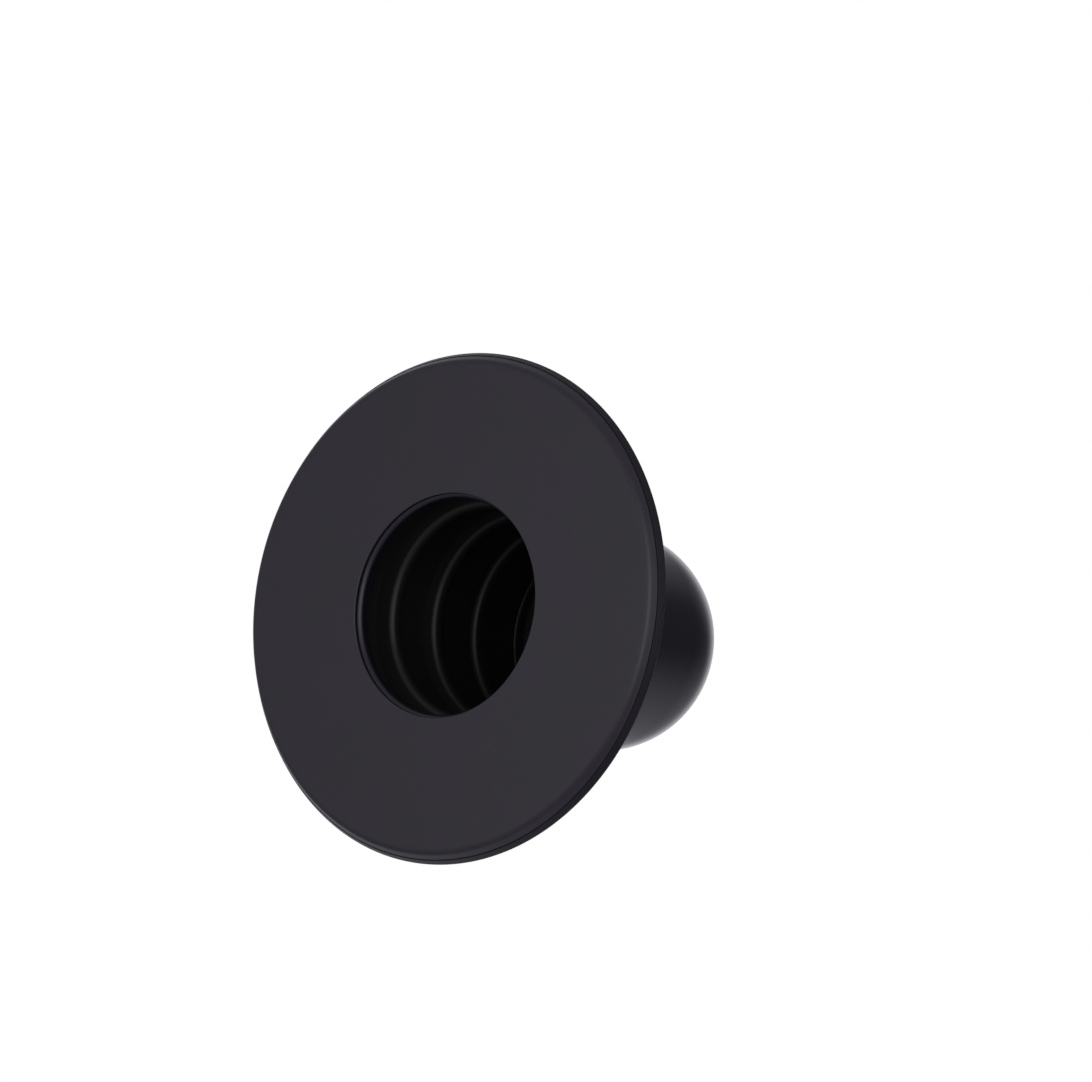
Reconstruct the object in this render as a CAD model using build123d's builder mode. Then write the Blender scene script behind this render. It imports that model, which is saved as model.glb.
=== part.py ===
"""Sink plunger: a wide flat sealing flange, a bellows and a ball-topped palm grip.

It stands on its sealing face. Origin: centre of the sealing face. +Z runs up the
axis of the plunger to the top of the grip. Millimetres.
"""

import os
from math import cos, pi, radians, sin, sqrt, tan

from build123d import *

# --- driving dimensions ------------------------------------------------------

flange_r = 75.0  # widest edge, the thin lip of the flange plate
bore_r = 32.85  # mouth of the sealing face
pad_flat_r = 72.0  # where the sealing face turns into the pad's sloping edge
pad_r = 73.7  # outer edge of the soft sealing pad
pad_edge_z = 2.4
pad_t = 3.0  # thickness of the pad, which is the lowest piece
grip_r = 34.3  # outer radius of the grip's skirt and of its ball
ball_z = 80.0  # height of the ball's centre

crest_r = 30.75  # narrowest inside radius of the bellows, at the tip of each inward fold
fold_pitch = 20.5  # one inward fold to the next
first_fold_z = 18.0  # height of the lowest inward fold
lobe_foot_r = 39.6  # outside of the lobes between the folds: they lie on one cone
lobe_end_r = 35.0
wall_t = 1.8  # wall of the lobes and folds

gap = 0.1  # clearance between the grip's pieces and the rubber they hold

# --- flange plate, and the ring and pad on its front -------------------------

rim_bore_r = 73.8  # the plate's rim stands round the pad, a hairline outside it
rim_front_z = 2.6
rim_land_r = 74.0  # from its narrow land the rim slopes back to the plate's thin outer edge
edge_front_z = 4.2
edge_back_z = 4.8
ring_t = 2.0
ring_bore_r = 31.75  # the ring's nose stands out into the mouth, behind the pad's inner edge
ring_nose_r = 36.0
ring_nose_z = 1.3
ring_r = 46.5
ring_top_z = pad_t + ring_t
ring_fit = 0.05
collar_r = 46.2
collar_foot_r = 50.0
collar_foot_z = 6.6
collar_bend_z = 8.2
collar_top_z = 10.5
shelf_z = 7.7  # underside of the collar's inner shelf, over the bellows' foot
shelf_r = 39.9
foot_pocket_r = 43.7

# --- bellows -----------------------------------------------------------------

foot_r = 43.5
foot_bottom_z = ring_top_z + 0.05
foot_top_z = shelf_z - 0.1
lobe_end_z = 56.5
lower_lean = radians(5)  # a fold's flanks, from square to the axis
upper_lean = radians(32)
fold_fillet = 2.25  # round tip of an inward fold
groove_fillet = fold_fillet - wall_t
lobe_fillet = 3.2  # shoulder of a lobe, outside
neck_z = 57.4  # the last lobe runs out into a neck, flush with the grip
neck_top_z = 58.4
sleeve_r = 32.9  # thin sleeve lining the grip's skirt
sleeve_bore_r = 31.9
stop_lip_z = 78.2  # inward lip near the sleeve's top, under the clamp cup
stop_lip_top_z = 80.7
stop_lip_lean = radians(30)
stop_lip_fillet = 2.2
tail_bore_r = 27.9  # turned-in end of the sleeve, clamped under the grip's shoulder

# --- grip --------------------------------------------------------------------

skirt_bore_r = sleeve_r + gap
skirt_edge_z = neck_top_z + 0.3  # lowest edge of the skirt
shoulder_z = 84.3
shoulder_r = 27.8
ball_bore_r = 29.2
boss_r = 7.5
boss_bottom_z = 88.5
insert_hole_depth = 13.0
rib_count = 6
rib_t = 2.0
rib_bottom_z = 93.0
rib_overlap = 1.8  # how far a rib runs into the ball's wall

# --- clamp cup, its seal and its fastener ------------------------------------

cup_flange_r = 31.7
cup_flange_z = stop_lip_top_z + gap
cup_flange_t = 1.8
cup_r = 27.3
cup_bore_r = 24.3
cup_top_z = 88.0
cup_top_t = 2.0
seal_groove_z = 86.1
seal_groove_h = 1.9
seal_groove_r = 26.05
seal_section_r = 0.84

screw_r = 2.95  # M6
screw_head_r = 5.8
screw_head_h = 3.8
screw_hex_r = 2.3
screw_hex_depth = 2.4
screw_end_z = 100.0
screw_hole_r = 3.3
washer_r = 8.0
washer_t = 1.2
insert_r = 4.1
insert_bore_r = 3.0
insert_waist_r = 3.6
insert_h = 11.5

# --- derived places ----------------------------------------------------------

first_z, second_z, third_z = (first_fold_z + i * fold_pitch for i in range(3))
fold_centre_r = crest_r + fold_fillet
half_wedge = (lower_lean + upper_lean) / 2
fold_tilt = (upper_lean - lower_lean) / 2
taper = (lobe_foot_r - lobe_end_r) / (lobe_end_z - foot_top_z)
tail_z = cup_flange_z + cup_flange_t + gap
cup_roof_z = cup_top_z - cup_top_t
washer_z = cup_roof_z - washer_t
insert_z = boss_bottom_z + 0.2


def lobe_outside(z):
    """Outside radius of the lobes' cone at height z."""
    return lobe_foot_r - taper * (z - foot_top_z)


def fold_tip(fold_z, rounding):
    """Where the two flanks of a fold would meet, on the face that is rounded by rounding."""
    reach = rounding / sin(half_wedge)
    return (fold_centre_r - reach * cos(fold_tilt), fold_z - reach * sin(fold_tilt))


def flank_foot(tip, wall_in, slope):
    """Where the flank that leaves a fold's tip at that slope meets the lobes' wall.

    wall_in is how far this face of the wall lies inside the lobes' cone.
    """
    tip_r, tip_z = tip
    r = (lobe_outside(tip_z) - wall_in + taper * slope * tip_r) / (1 + taper * slope)
    return (r, tip_z + slope * (r - tip_r))


def ball_height(ball_radius, r):
    """Height over the origin of a point at radius r on a sphere about the ball's centre."""
    return ball_z + sqrt(ball_radius**2 - r**2)


def edges_at(part, r, z):
    """The round edges of a turned part that pass through radius r and height z."""
    circles = part.edges().filter_by(GeomType.CIRCLE)
    return circles.filter_by(lambda e: abs(e.radius - r) < 0.02 and abs(e.center().Z - z) < 0.02)


# --- sealing pad: soft annular face that presses on the sink -----------------

with BuildPart() as sealing_pad:
    with BuildSketch(Plane.XZ):
        with BuildLine():
            Polyline(
                (bore_r, 0),
                (pad_flat_r, 0),
                (pad_r, pad_edge_z),
                (pad_r, pad_t),
                (ring_nose_r + ring_fit, pad_t),
                (ring_nose_r + ring_fit, ring_nose_z),
                (bore_r, ring_nose_z),
                close=True,
            )
        make_face()
    revolve(axis=Axis.Z)
    fillet(edges_at(sealing_pad, pad_flat_r, 0), radius=2.5)
    fillet(edges_at(sealing_pad, pad_r, pad_edge_z), radius=0.3)
    fillet(edges_at(sealing_pad, bore_r, 0), radius=0.35)

# --- flange plate: stiff disc behind the pad, its rim sloping to a thin edge ---

with BuildPart() as flange_plate:
    with BuildSketch(Plane.XZ):
        with BuildLine():
            Polyline(
                (ring_r + ring_fit, pad_t),
                (rim_bore_r, pad_t),
                (rim_bore_r, rim_front_z),
                (rim_land_r, rim_front_z),
                (flange_r, edge_front_z),
                (flange_r, edge_back_z),
                (collar_foot_r, collar_foot_z),
                (collar_r, collar_bend_z),
                (collar_r, collar_top_z),
                (shelf_r, collar_top_z),
                (shelf_r, shelf_z),
                (foot_pocket_r, shelf_z),
                (foot_pocket_r, ring_top_z),
                (ring_r + ring_fit, ring_top_z),
                close=True,
            )
        make_face()
    revolve(axis=Axis.Z)
    fillet(edges_at(flange_plate, rim_bore_r, rim_front_z), radius=0.1)
    fillet(edges_at(flange_plate, rim_land_r, rim_front_z), radius=0.15)
    fillet(edges_at(flange_plate, flange_r, edge_front_z), radius=0.4)
    fillet(edges_at(flange_plate, flange_r, edge_back_z), radius=0.4)
    fillet(edges_at(flange_plate, collar_foot_r, collar_foot_z), radius=4.0)
    fillet(edges_at(flange_plate, collar_r, collar_top_z), radius=1.2)
    fillet(edges_at(flange_plate, shelf_r, collar_top_z), radius=0.8)

# --- bellows ring: clamps the bellows' foot into the plate, its nose in the mouth

with BuildPart() as bellows_ring:
    with BuildSketch(Plane.XZ):
        with BuildLine():
            Polyline(
                (ring_bore_r, ring_nose_z),
                (ring_nose_r, ring_nose_z),
                (ring_nose_r, pad_t),
                (ring_r, pad_t),
                (ring_r, ring_top_z),
                (ring_bore_r, ring_top_z),
                close=True,
            )
        make_face()
    revolve(axis=Axis.Z)
    fillet(edges_at(bellows_ring, ring_bore_r, ring_nose_z), radius=1.8)
    fillet(edges_at(bellows_ring, ring_bore_r, ring_top_z), radius=1.0)

# --- bellows: foot, lobes and folds, thin sleeve inside the grip, stop lip, tail ----

inner_tips = [fold_tip(z, fold_fillet) for z in (first_z, second_z)]
groove_roots = [fold_tip(z, groove_fillet) for z in (first_z, second_z)]
third_crest = (crest_r, third_z - fold_fillet * tan(pi / 4 - lower_lean / 2))  # round up to third_z
inside_face = [
    (lobe_outside(foot_bottom_z) - wall_t, foot_bottom_z),
    flank_foot(inner_tips[0], wall_t, -tan(lower_lean)),
    inner_tips[0],
    flank_foot(inner_tips[0], wall_t, tan(upper_lean)),
    flank_foot(inner_tips[1], wall_t, -tan(lower_lean)),
    inner_tips[1],
    flank_foot(inner_tips[1], wall_t, tan(upper_lean)),
    flank_foot(third_crest, wall_t, -tan(lower_lean)),
    third_crest,
    (crest_r, third_z + 1.0),
    (sleeve_bore_r, third_z + 2.2),
    (sleeve_bore_r, stop_lip_z - (sleeve_bore_r - crest_r) * tan(stop_lip_lean)),
    (crest_r, stop_lip_z),
    (crest_r, stop_lip_top_z),
    (sleeve_bore_r, stop_lip_top_z),
    (sleeve_bore_r, tail_z),
    (tail_bore_r, tail_z),
    (tail_bore_r, shoulder_z - gap),
]
lobe_shoulders = [
    flank_foot(groove_roots[1], 0, tan(upper_lean)),
    flank_foot(groove_roots[1], 0, -tan(lower_lean)),
    flank_foot(groove_roots[0], 0, tan(upper_lean)),
    flank_foot(groove_roots[0], 0, -tan(lower_lean)),
]
outside_face = [
    (sleeve_r, shoulder_z - gap),
    (sleeve_r, neck_top_z),
    (grip_r, neck_top_z),
    (grip_r, neck_z),
    (lobe_end_r, lobe_end_z),
    lobe_shoulders[0],
    groove_roots[1],
    *lobe_shoulders[1:3],
    groove_roots[0],
    lobe_shoulders[3],
    (lobe_foot_r, foot_top_z),
    (foot_r, foot_top_z),
    (foot_r, foot_bottom_z),
]


def corners_at(sketch, places):
    """The corners of a profile at the given radii and heights."""
    return sketch.vertices().filter_by(
        lambda v: any(abs(v.X - r) + abs(v.Y - z) < 0.01 for r, z in places)
    )


with BuildPart() as bellows:
    with BuildSketch(Plane.XZ) as wall:
        with BuildLine():
            Polyline(*inside_face, *outside_face, close=True)
        make_face()
        fillet(corners_at(wall, [*inner_tips, third_crest]), radius=fold_fillet)
        fillet(corners_at(wall, groove_roots), radius=groove_fillet)
        fillet(corners_at(wall, lobe_shoulders), radius=lobe_fillet)
        fillet(corners_at(wall, [(crest_r, stop_lip_z)]), radius=stop_lip_fillet)
    revolve(axis=Axis.Z)

# --- grip dome: hard skirt and ball, with ribs and a boss inside -------------

with BuildPart() as grip_dome:
    with BuildSketch(Plane.XZ):
        with BuildLine():
            Polyline(
                (grip_r, ball_z),
                (grip_r, skirt_edge_z),
                (skirt_bore_r, skirt_edge_z),
                (skirt_bore_r, shoulder_z),
                (shoulder_r, shoulder_z),
                (shoulder_r, ball_height(ball_bore_r, shoulder_r)),
            )
            RadiusArc(
                (shoulder_r, ball_height(ball_bore_r, shoulder_r)),
                (boss_r, ball_height(ball_bore_r, boss_r)),
                -ball_bore_r,
            )
            Polyline(
                (boss_r, ball_height(ball_bore_r, boss_r)),
                (boss_r, boss_bottom_z),
                (0, boss_bottom_z),
                (0, ball_z + grip_r),
            )
            RadiusArc((0, ball_z + grip_r), (grip_r, ball_z), grip_r)
        make_face()
    revolve(axis=Axis.Z)
    fillet(edges_at(grip_dome, grip_r, skirt_edge_z), radius=0.4)
    rib_end_r = ball_bore_r + rib_overlap
    rib_corner_x = sqrt(rib_end_r**2 - (rib_bottom_z - ball_z) ** 2)
    rib_root_x = boss_r - 1.0
    for i in range(rib_count):
        with BuildSketch(Plane.XZ.rotated((0, 0, i * 360 / rib_count))):
            with BuildLine():
                Polyline(
                    (rib_root_x, ball_height(rib_end_r, rib_root_x)),
                    (rib_root_x, rib_bottom_z),
                    (rib_corner_x, rib_bottom_z),
                )
                RadiusArc(
                    (rib_corner_x, rib_bottom_z),
                    (rib_root_x, ball_height(rib_end_r, rib_root_x)),
                    -rib_end_r,
                )
            make_face()
        extrude(amount=rib_t / 2, both=True)
    with BuildSketch(Plane.XY.offset(boss_bottom_z)):
        Circle(insert_r)
    extrude(amount=insert_hole_depth, mode=Mode.SUBTRACT)

# --- clamp cup: screwed up under the ball, holds the bellows' tail -----------

with BuildPart() as clamp_cup:
    with BuildSketch(Plane.XZ):
        with BuildLine():
            Polyline(
                (cup_bore_r, cup_flange_z),
                (cup_flange_r, cup_flange_z),
                (cup_flange_r, cup_flange_z + cup_flange_t),
                (cup_r, cup_flange_z + cup_flange_t),
                (cup_r, cup_top_z),
                (screw_hole_r, cup_top_z),
                (screw_hole_r, cup_roof_z),
                (cup_bore_r, cup_roof_z),
                close=True,
            )
        make_face()
        with Locations(((seal_groove_r + cup_r) / 2, seal_groove_z)):
            Rectangle(cup_r - seal_groove_r, seal_groove_h, mode=Mode.SUBTRACT)
    revolve(axis=Axis.Z)
    fillet(edges_at(clamp_cup, cup_bore_r, cup_flange_z), radius=1.0)
    fillet(edges_at(clamp_cup, cup_bore_r, cup_roof_z), radius=1.5)

# --- cup seal: O-ring between the cup and the grip's bore --------------------

with BuildPart() as cup_seal:
    with BuildSketch(Plane.XZ):
        with Locations(((seal_groove_r + shoulder_r) / 2, seal_groove_z)):
            Circle(seal_section_r)
    revolve(axis=Axis.Z)

# --- cup screw, its washer, and the threaded insert it runs into -------------

with BuildPart() as cup_screw:
    with BuildSketch(Plane.XY.offset(washer_z - screw_head_h)):
        Circle(screw_head_r)
    extrude(amount=screw_head_h)
    fillet(edges_at(cup_screw, screw_head_r, washer_z - screw_head_h), radius=1.6)
    with BuildSketch(Plane.XY.offset(washer_z)):
        Circle(screw_r)
    extrude(amount=screw_end_z - washer_z)
    chamfer(edges_at(cup_screw, screw_r, screw_end_z), length=0.6)
    with BuildSketch(Plane.XY.offset(washer_z - screw_head_h)):
        RegularPolygon(radius=screw_hex_r, side_count=6)
    extrude(amount=screw_hex_depth, mode=Mode.SUBTRACT)

with BuildPart() as screw_washer:
    with BuildSketch(Plane.XY.offset(washer_z)):
        Circle(washer_r)
        Circle(screw_hole_r, mode=Mode.SUBTRACT)
    extrude(amount=washer_t)
    chamfer(edges_at(screw_washer, washer_r, washer_z), length=0.25)

with BuildPart() as threaded_insert:
    with BuildSketch(Plane.XY.offset(insert_z)):
        Circle(insert_r)
        Circle(insert_bore_r, mode=Mode.SUBTRACT)
    extrude(amount=insert_h)
    with BuildSketch(Plane.XY.offset(insert_z + insert_h * 0.4)):
        Circle(insert_r)
        Circle(insert_waist_r, mode=Mode.SUBTRACT)
    extrude(amount=insert_h * 0.2, mode=Mode.SUBTRACT)

# --- write each piece --------------------------------------------------------

pieces = {
    "sealing_pad": sealing_pad,
    "flange_plate": flange_plate,
    "bellows_ring": bellows_ring,
    "bellows": bellows,
    "grip_dome": grip_dome,
    "clamp_cup": clamp_cup,
    "cup_seal": cup_seal,
    "cup_screw": cup_screw,
    "screw_washer": screw_washer,
    "threaded_insert": threaded_insert,
}

os.makedirs("parts", exist_ok=True)
for name, piece in pieces.items():
    piece.part.label = name
    export_step(piece.part, f"parts/{name}.step")
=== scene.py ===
"""Looks of the sink plunger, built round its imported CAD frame.

Metres, in the CAD's own frame: the plunger stands on its sealing face at z 0, and +Z
runs up its axis. Every piece of it is turned about that axis.
"""

from math import acos, ceil, cos, pi, radians, sin, tan

import bpy
from mathutils import Matrix, Vector


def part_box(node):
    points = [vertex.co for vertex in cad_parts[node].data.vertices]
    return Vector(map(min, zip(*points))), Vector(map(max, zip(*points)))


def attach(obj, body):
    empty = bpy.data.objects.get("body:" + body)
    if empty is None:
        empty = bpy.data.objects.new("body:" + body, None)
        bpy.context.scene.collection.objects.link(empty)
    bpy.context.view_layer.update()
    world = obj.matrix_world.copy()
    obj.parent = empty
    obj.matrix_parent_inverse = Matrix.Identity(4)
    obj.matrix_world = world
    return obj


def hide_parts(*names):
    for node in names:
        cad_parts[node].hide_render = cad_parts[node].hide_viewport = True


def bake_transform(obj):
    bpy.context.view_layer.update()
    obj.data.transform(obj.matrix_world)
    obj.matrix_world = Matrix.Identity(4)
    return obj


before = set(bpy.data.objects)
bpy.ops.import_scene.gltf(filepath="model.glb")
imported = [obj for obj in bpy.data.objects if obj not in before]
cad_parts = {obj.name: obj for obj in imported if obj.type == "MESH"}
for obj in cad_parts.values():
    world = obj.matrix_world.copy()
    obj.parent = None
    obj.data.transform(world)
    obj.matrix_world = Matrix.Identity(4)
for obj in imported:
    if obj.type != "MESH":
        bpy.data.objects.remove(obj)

MM = 0.001
SEGMENTS = 256  # steps of a turned mesh round its axis
ARC_STEP = radians(6)  # longest step along a rounded corner
SHARP_FROM = radians(40)  # edges sharper than this aren't shaded smooth

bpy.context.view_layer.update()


def widest(node):
    """Outer radius of a CAD node, in millimetres."""
    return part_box(node)[1].x / MM


def bottom(node):
    """Height of a CAD node's lowest point, in millimetres."""
    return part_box(node)[0].z / MM


def top(node):
    """Height of a CAD node's highest point, in millimetres."""
    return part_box(node)[1].z / MM


# --- outlines and turned meshes ----------------------------------------------


def corner_arc(before, corner, after, radius):
    """Points of the arc that rounds a corner of an outline."""
    p, a, b = Vector(corner), Vector(before), Vector(after)
    to_a, to_b = (a - p).normalized(), (b - p).normalized()
    half = acos(max(-1.0, min(1.0, to_a.dot(to_b)))) / 2
    start = p + to_a * (radius / tan(half))
    centre = p + (to_a + to_b).normalized() * (radius / sin(half))
    spoke = start - centre
    turn = pi - 2 * half
    side = 1 if to_a.cross(to_b) < 0 else -1
    count = max(2, ceil(turn / ARC_STEP))
    return [centre + Matrix.Rotation(side * turn * i / count, 2) @ spoke for i in range(count + 1)]


def fill_runs(points, longest=8.0, hold=0.25):
    """Adds points along an outline's straight runs, close to their ends and then evenly."""
    filled = []
    for i, p in enumerate(points):
        q = points[(i + 1) % len(points)]
        filled.append(p)
        length = (q - p).length
        if length > 4 * hold:
            count = max(1, ceil((length - 2 * hold) / longest))
            places = [hold + (length - 2 * hold) * k / count for k in range(count + 1)]
            filled += [p.lerp(q, place / length) for place in places]
    return filled


def outline(corners):
    """Closed outline from corners (radius from axis, height, rounding), in millimetres."""
    points = []
    for i, (r, z, rounding) in enumerate(corners):
        if rounding:
            before, after = corners[i - 1], corners[(i + 1) % len(corners)]
            points += corner_arc(before[:2], (r, z), after[:2], rounding)
        else:
            points.append(Vector((r, z)))
    return fill_runs(points)


def turned(name, points):
    """Mesh object made by turning a closed outline about the Z axis."""
    verts, rings = [], []
    for p in points:
        on_axis = abs(p.x) < 1e-6
        count = 1 if on_axis else SEGMENTS
        rings.append([len(verts) + (k % count) for k in range(SEGMENTS)])
        for k in range(count):
            angle = 2 * pi * k / SEGMENTS
            verts.append((p.x * MM * cos(angle), p.x * MM * sin(angle), p.y * MM))
    faces = []
    for i, ring in enumerate(rings):
        following = rings[(i + 1) % len(rings)]
        for k in range(SEGMENTS):
            n = (k + 1) % SEGMENTS
            face = [ring[k], ring[n], following[n], following[k]]
            distinct = list(dict.fromkeys(face))
            if len(distinct) > 2:
                faces.append(distinct)
    mesh = bpy.data.meshes.new(name)
    mesh.from_pydata(verts, [], faces)
    mesh.validate()
    mesh.shade_smooth()
    mesh.set_sharp_from_angle(angle=SHARP_FROM)
    piece = bpy.data.objects.new(name, mesh)
    bpy.context.scene.collection.objects.link(piece)
    return piece


# --- materials ---------------------------------------------------------------

MOTTLE_SCALE = 35.0  # of the colour and roughness clouds, per metre
MOULD_GRAIN = 0.00025
MOULD_SHEEN_SPREAD = 0.03
METAL_GRAIN_SCALE = 900.0
METAL_SHEEN_SPREAD = 0.08


def moulded(name, color, roughness, specular=0.5, bump=0.02, mottle=0.08):
    """Moulded rubber or plastic: faint colour and roughness mottle, fine grain in the bump."""
    material = bpy.data.materials.new(name)
    material.use_nodes = True
    nodes, links = material.node_tree.nodes, material.node_tree.links
    shader = nodes["Principled BSDF"]
    shader.inputs["Specular IOR Level"].default_value = specular
    place = nodes.new("ShaderNodeTexCoord")
    clouds = nodes.new("ShaderNodeTexNoise")
    clouds.inputs["Scale"].default_value = MOTTLE_SCALE
    clouds.inputs["Detail"].default_value = 6.0
    links.new(place.outputs["Object"], clouds.inputs["Vector"])
    tone = nodes.new("ShaderNodeMapRange")
    tone.inputs["To Min"].default_value = 1 - mottle
    tone.inputs["To Max"].default_value = 1 + mottle
    links.new(clouds.outputs["Fac"], tone.inputs["Value"])
    tint = nodes.new("ShaderNodeVectorMath")
    tint.operation = "SCALE"
    tint.inputs[0].default_value = color
    links.new(tone.outputs["Result"], tint.inputs["Scale"])
    links.new(tint.outputs["Vector"], shader.inputs["Base Color"])
    sheen = nodes.new("ShaderNodeMapRange")
    sheen.inputs["To Min"].default_value = roughness - MOULD_SHEEN_SPREAD
    sheen.inputs["To Max"].default_value = roughness + MOULD_SHEEN_SPREAD
    links.new(clouds.outputs["Fac"], sheen.inputs["Value"])
    links.new(sheen.outputs["Result"], shader.inputs["Roughness"])
    pores = nodes.new("ShaderNodeTexNoise")
    pores.inputs["Scale"].default_value = 1 / MOULD_GRAIN
    pores.inputs["Detail"].default_value = 2.0
    links.new(place.outputs["Object"], pores.inputs["Vector"])
    relief = nodes.new("ShaderNodeBump")
    relief.inputs["Strength"].default_value = bump
    relief.inputs["Distance"].default_value = MOULD_GRAIN
    links.new(pores.outputs["Fac"], relief.inputs["Height"])
    links.new(relief.outputs["Normal"], shader.inputs["Normal"])
    return material


def metal(name, color, roughness):
    """Plain metal with a fine mottle in its roughness."""
    material = bpy.data.materials.new(name)
    material.use_nodes = True
    nodes, links = material.node_tree.nodes, material.node_tree.links
    shader = nodes["Principled BSDF"]
    shader.inputs["Base Color"].default_value = (*color, 1)
    shader.inputs["Metallic"].default_value = 1.0
    place = nodes.new("ShaderNodeTexCoord")
    grain = nodes.new("ShaderNodeTexNoise")
    grain.inputs["Scale"].default_value = METAL_GRAIN_SCALE
    links.new(place.outputs["Object"], grain.inputs["Vector"])
    sheen = nodes.new("ShaderNodeMapRange")
    sheen.inputs["To Min"].default_value = roughness - METAL_SHEEN_SPREAD
    sheen.inputs["To Max"].default_value = roughness + METAL_SHEEN_SPREAD
    links.new(grain.outputs["Fac"], sheen.inputs["Value"])
    links.new(sheen.outputs["Result"], shader.inputs["Roughness"])
    return material


pad_rubber = moulded("pad_rubber", (0.0072, 0.0052, 0.012), 0.45, mottle=0.4)
flange_plastic = moulded("flange_plastic", (0.006, 0.005, 0.009), 0.42, specular=0.25, mottle=0.2)
ring_plastic = moulded("ring_plastic", (0.006, 0.005, 0.009), 0.33, specular=0.4)
bellows_rubber = moulded("bellows_rubber", (0.0085, 0.0085, 0.009), 0.37, specular=0.2, mottle=0.2)
grip_plastic = moulded("grip_plastic", (0.0042, 0.0035, 0.008), 0.22, bump=0.008, mottle=0.15)
cup_plastic = moulded("cup_plastic", (0.006, 0.0055, 0.008), 0.4)
seal_rubber = moulded("seal_rubber", (0.01, 0.01, 0.01), 0.3)
screw_steel = metal("screw_steel", (0.55, 0.55, 0.57), 0.3)
insert_brass = metal("insert_brass", (0.75, 0.55, 0.25), 0.35)


def dress(piece, material):
    """Gives a piece its material."""
    piece.data.materials.clear()
    piece.data.materials.append(material)


# --- sealing pad -------------------------------------------------------------
# Lengths from here to the floor are in millimetres, and are those of the CAD.

pad_r = widest("sealing_pad")
pad_top = top("sealing_pad")
bore_r = 32.85
pad_flat_r = 72.0
pad_edge_z = 2.4
nose_r = 36.0
nose_z = bottom("bellows_ring")
fit = 0.05  # gap round the ring
gap = 0.1  # gap between other pieces

pad = turned("pad", outline([
    (bore_r, 0, 0.35),
    (pad_flat_r, 0, 2.5),
    (pad_r, pad_edge_z, 0.3),
    (pad_r, pad_top, 0),
    (nose_r + fit, pad_top, 0),
    (nose_r + fit, nose_z, 0),
    (bore_r, nose_z, 0.2),
]))
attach(pad, "base")
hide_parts("sealing_pad")
dress(pad, pad_rubber)

# --- flange plate and bellows ring -------------------------------------------

flange_r = widest("flange_plate")
ring_r = widest("bellows_ring")
ring_top = top("bellows_ring")
rim_front = bottom("flange_plate")
collar_top = top("flange_plate")
rim_bore_r = pad_r + gap
rim_land_r = 74.0
edge_front, edge_back = 4.2, 4.8
cone_top_r, cone_top_z = 50.0, 6.6
collar_r = 46.2
collar_foot_z = 8.2
shelf_r = 39.9
shelf_z = 7.7
foot_pocket_r = 43.7

plate = turned("plate", outline([
    (ring_r + fit, pad_top, 0),
    (rim_bore_r, pad_top, 0),
    (rim_bore_r, rim_front, 0.1),
    (rim_land_r, rim_front, 0.15),
    (flange_r, edge_front, 0.4),
    (flange_r, edge_back, 0.4),
    (cone_top_r, cone_top_z, 4.0),
    (collar_r, collar_foot_z, 0.5),
    (collar_r, collar_top, 1.2),
    (shelf_r, collar_top, 0.8),
    (shelf_r, shelf_z, 0),
    (foot_pocket_r, shelf_z, 0),
    (foot_pocket_r, ring_top, 0),
    (ring_r + fit, ring_top, 0),
]))
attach(plate, "base")
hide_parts("flange_plate")
dress(plate, flange_plastic)

ring_bore_r = 31.75
ring = turned("ring", outline([
    (ring_bore_r, nose_z, 1.8),
    (nose_r, nose_z, 0),
    (nose_r, pad_top, 0),
    (ring_r, pad_top, 0),
    (ring_r, ring_top, 0),
    (ring_bore_r, ring_top, 1.0),
]))
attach(ring, "base")
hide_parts("bellows_ring")
dress(ring, ring_plastic)

# --- bellows -----------------------------------------------------------------

foot_z = bottom("bellows")
tail_z = top("bellows")
foot_r = foot_pocket_r - 2 * gap
foot_top = shelf_z - gap
crest_r = 30.75
first_fold, second_fold, third_fold = 18.0, 38.5, 59.0
wall = 1.8
tip_round = 2.25
lobe_round = 3.2
lower_lean, upper_lean, stop_lean = radians(5), radians(32), radians(30)
lobe_foot_r, lobe_end_r, lobe_end_z = 39.6, 35.0, 56.5
neck_r = widest("grip_dome")
neck_low, neck_high = 57.4, 58.4
sleeve_r, sleeve_bore = 32.9, 31.9
sleeve_foot_z = third_fold + 2.2
stop_low, stop_high, stop_round = 78.2, 80.7, 2.2
tail_low = 82.7
tail_bore = 27.9

taper = (lobe_foot_r - lobe_end_r) / (lobe_end_z - foot_top)


def lobe_outside(z):
    """Outside radius of the lobes' cone at height z."""
    return lobe_foot_r - taper * (z - foot_top)


def fold_tip(z, rounding):
    """Where the two flanks of a fold would meet, on the face that is rounded by rounding."""
    reach = rounding / sin((lower_lean + upper_lean) / 2)
    tilt = (upper_lean - lower_lean) / 2
    return (crest_r + tip_round - reach * cos(tilt), z - reach * sin(tilt), rounding)


def flank_foot(tip, wall_in, slope, rounding):
    """Where the flank that leaves a fold's tip at that slope meets the lobes' wall."""
    r = (lobe_outside(tip[1]) - wall_in + taper * slope * tip[0]) / (1 + taper * slope)
    return (r, tip[1] + slope * (r - tip[0]), rounding)


def inward_fold(z):
    """Inside corners of a fold, going up."""
    tip = fold_tip(z, tip_round)
    return [
        flank_foot(tip, wall, -tan(lower_lean), 0),
        tip,
        flank_foot(tip, wall, tan(upper_lean), 0),
    ]


def outside_groove(z):
    """Outside corners of a fold, going down."""
    root = fold_tip(z, tip_round - wall)
    return [
        flank_foot(root, 0, tan(upper_lean), lobe_round),
        root,
        flank_foot(root, 0, -tan(lower_lean), lobe_round),
    ]


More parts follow.
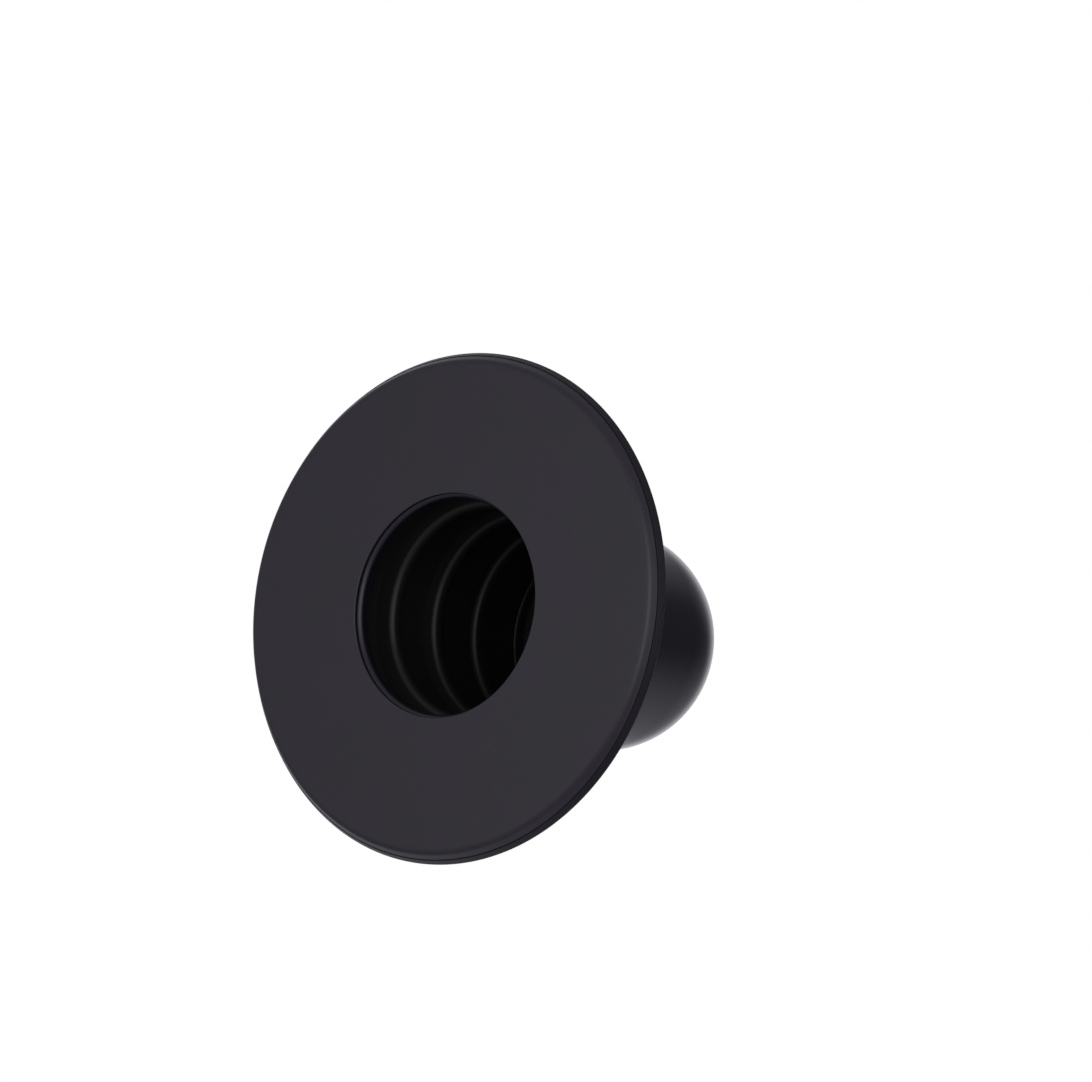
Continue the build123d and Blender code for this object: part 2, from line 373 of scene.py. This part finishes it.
third_crest = (crest_r, third_fold - tip_round * tan(pi / 4 - lower_lean / 2), tip_round)
bellows = turned("bellows_skin", outline([
    (lobe_outside(foot_z) - wall, foot_z, 0.3),
    *inward_fold(first_fold),
    *inward_fold(second_fold),
    flank_foot(third_crest, wall, -tan(lower_lean), 0),
    third_crest,
    (crest_r, third_fold + 1.0, 0.3),
    (sleeve_bore, sleeve_foot_z, 0.3),
    (sleeve_bore, stop_low - (sleeve_bore - crest_r) * tan(stop_lean), 0.3),
    (crest_r, stop_low, stop_round),
    (crest_r, stop_high, 0.3),
    (sleeve_bore, stop_high, 0),
    (sleeve_bore, tail_low, 0),
    (tail_bore, tail_low, 0),
    (tail_bore, tail_z, 0),
    (sleeve_r, tail_z, 0),
    (sleeve_r, neck_high, 0),
    (neck_r, neck_high, 0.3),
    (neck_r, neck_low, 0.5),
    (lobe_end_r, lobe_end_z, 0.5),
    *outside_groove(second_fold),
    *outside_groove(first_fold),
    (lobe_foot_r, foot_top, 0),
    (foot_r, foot_top, 0.4),
    (foot_r, foot_z, 0),
]))
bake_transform(bellows)
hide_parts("bellows")
dress(bellows, bellows_rubber)

# --- grip --------------------------------------------------------------------

dress(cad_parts["grip_dome"], grip_plastic)
dress(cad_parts["clamp_cup"], cup_plastic)
dress(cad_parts["cup_seal"], seal_rubber)
dress(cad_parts["cup_screw"], screw_steel)
dress(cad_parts["screw_washer"], screw_steel)
dress(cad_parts["threaded_insert"], insert_brass)

# --- floor, light and camera -------------------------------------------------

room_brightness = 0.11  # 1 looks as white as the backdrop
# Each soft glow: its direction, the angles from it in degrees where it starts and is full, its strength.
glows = [
    ((-0.58, -0.17, 0.80), 42, 10, 0.9),
    ((-0.12, 0.83, 0.55), 64, 12, 0.45),
    ((-0.1, -0.6, 0.79), 37, 8, 0.2),
    ((0.0, -0.25, -0.97), 112, 60, 0.38),
]
# The band of light all round, by the Z of a unit vector towards it: its middle, and how far it reaches.
band_height, band_reach, band_core, band_strength = 0.4, 0.32, 0.1, 0.42
floor_half = 12.0  # metres
floor_glow = 0.3  # keeps the far floor as pale as the near


def make_floor():
    """Pale floor under the plunger. It is clear from beneath, and throws no light on the object."""
    mesh = bpy.data.meshes.new("floor")
    signs = [(-1, -1), (1, -1), (1, 1), (-1, 1)]
    corners = [(x * floor_half, y * floor_half, 0) for x, y in signs]
    mesh.from_pydata(corners, [], [(0, 1, 2, 3)])
    floor = bpy.data.objects.new("floor", mesh)
    bpy.context.scene.collection.objects.link(floor)
    material = bpy.data.materials.new("floor_pale")
    material.use_nodes = True
    nodes, links = material.node_tree.nodes, material.node_tree.links
    shader = nodes["Principled BSDF"]
    shader.inputs["Base Color"].default_value = (0.9, 0.9, 0.9, 1)
    shader.inputs["Roughness"].default_value = 0.9
    shader.inputs["Emission Color"].default_value = (1, 1, 1, 1)
    shader.inputs["Emission Strength"].default_value = floor_glow
    clear = nodes.new("ShaderNodeBsdfTransparent")
    side = nodes.new("ShaderNodeNewGeometry")
    mix = nodes.new("ShaderNodeMixShader")
    links.new(side.outputs["Backfacing"], mix.inputs["Fac"])
    links.new(shader.outputs["BSDF"], mix.inputs[1])
    links.new(clear.outputs["BSDF"], mix.inputs[2])
    links.new(mix.outputs["Shader"], nodes["Material Output"].inputs["Surface"])
    mesh.materials.append(material)
    floor.visible_diffuse = False
    floor.visible_glossy = False
    floor.visible_transmission = False
    floor.visible_shadow = False


def make_world():
    """White backdrop, seen only directly, and a dim room with a band of light and soft glows."""
    world = bpy.data.worlds.new("studio")
    world.use_nodes = True
    nodes, links = world.node_tree.nodes, world.node_tree.links
    backdrop = nodes["Background"]
    backdrop.inputs["Color"].default_value = (1, 1, 1, 1)
    room = nodes.new("ShaderNodeBackground")
    room.inputs["Color"].default_value = (0.97, 0.95, 1.03, 1)
    place = nodes.new("ShaderNodeTexCoord")
    height = nodes.new("ShaderNodeSeparateXYZ")
    links.new(place.outputs["Generated"], height.inputs["Vector"])
    above = nodes.new("ShaderNodeMath")
    above.operation = "SUBTRACT"
    above.inputs[1].default_value = band_height
    links.new(height.outputs["Z"], above.inputs[0])
    off = nodes.new("ShaderNodeMath")
    off.operation = "ABSOLUTE"
    links.new(above.outputs["Value"], off.inputs[0])
    band = nodes.new("ShaderNodeMapRange")
    band.interpolation_type = "SMOOTHSTEP"
    band.inputs["From Min"].default_value = band_reach
    band.inputs["From Max"].default_value = band_core
    band.inputs["To Min"].default_value = room_brightness
    band.inputs["To Max"].default_value = room_brightness + band_strength
    links.new(off.outputs["Value"], band.inputs["Value"])
    brightness = band.outputs["Result"]
    for way, starts, full, strength in glows:
        facing = nodes.new("ShaderNodeVectorMath")
        facing.operation = "DOT_PRODUCT"
        facing.inputs[1].default_value = Vector(way).normalized()
        links.new(place.outputs["Generated"], facing.inputs[0])
        glow = nodes.new("ShaderNodeMapRange")
        glow.interpolation_type = "SMOOTHSTEP"
        glow.inputs["From Min"].default_value = cos(radians(starts))
        glow.inputs["From Max"].default_value = cos(radians(full))
        glow.inputs["To Min"].default_value = 0.0
        glow.inputs["To Max"].default_value = strength
        links.new(facing.outputs["Value"], glow.inputs["Value"])
        total = nodes.new("ShaderNodeMath")
        links.new(glow.outputs["Result"], total.inputs[0])
        links.new(brightness, total.inputs[1])
        brightness = total.outputs["Value"]
    links.new(brightness, room.inputs["Strength"])
    path = nodes.new("ShaderNodeLightPath")
    mix = nodes.new("ShaderNodeMixShader")
    links.new(path.outputs["Is Camera Ray"], mix.inputs["Fac"])
    links.new(room.outputs["Background"], mix.inputs[1])
    links.new(backdrop.outputs["Background"], mix.inputs[2])
    links.new(mix.outputs["Shader"], nodes["World Output"].inputs["Surface"])
    bpy.context.scene.world = world
    bpy.context.scene.view_settings.view_transform = "Standard"


def softbox(name, direction, distance, width, brightness):
    """Square softbox that faces the plunger. Brightness 1 looks as white as the backdrop."""
    light = bpy.data.lights.new(name, "AREA")
    light.size = width
    light.energy = brightness * pi * width**2
    box = bpy.data.objects.new(name, light)
    bpy.context.scene.collection.objects.link(box)
    way = Vector(direction).normalized()
    turn = way.to_track_quat("Z", "Y").to_matrix().to_4x4()
    box.matrix_world = Matrix.Translation(way * distance) @ turn
    box.visible_camera = False


def make_lights():
    """Two softboxes under the plunger, because the camera looks up into its mouth."""
    softbox("face_box", (-0.18, -0.05, -0.98), 0.45, 0.45, 0.5)
    softbox("camera_box", (0.73, -0.02, -0.66), 1.6, 1.3, 1.65)


# Where the flange stands in the view.
view_tilt = radians(37.15)  # between the plunger's axis and the line of sight
view_roll = radians(13.54)  # the axis leads right and this far below level in the picture
view_distance = 15.51  # in flange radii
aim_right = -0.02368  # the flange centre's offset from the picture's centre, per unit depth
aim_down = 0.01643
sight_z = 3.9  # height of the flange's centre that the camera is aimed by
lens_widths = 3.663  # focal length in picture widths
sensor_width = 36.0


def make_camera():
    """Camera under the sealing face, looking up into the mouth."""
    camera = bpy.data.objects.new("camera", bpy.data.cameras.new("camera"))
    bpy.context.scene.collection.objects.link(camera)
    camera.data.sensor_width = sensor_width
    camera.data.lens = sensor_width * lens_widths
    axis = Vector((sin(view_tilt) * cos(view_roll), sin(view_tilt) * sin(view_roll), cos(view_tilt)))
    across = (Vector((1, 0, 0)) - axis * axis.x).normalized()
    # Turns directions as the camera sees them (right, down, ahead) into the part's own.
    to_part = Matrix((across, axis.cross(across), axis))
    right, down, ahead = to_part.col
    centre = Vector((aim_right, aim_down, 1)) * view_distance * flange_r * MM
    place = Vector((0, 0, sight_z * MM)) - to_part @ centre
    turn = Matrix((right, -down, -ahead)).transposed()
    camera.matrix_world = Matrix.Translation(place) @ turn.to_4x4()
    camera.data.clip_start = 0.01
    camera.data.clip_end = 100.0
    bpy.context.scene.camera = camera


make_world()
make_lights()
make_floor()
make_camera()
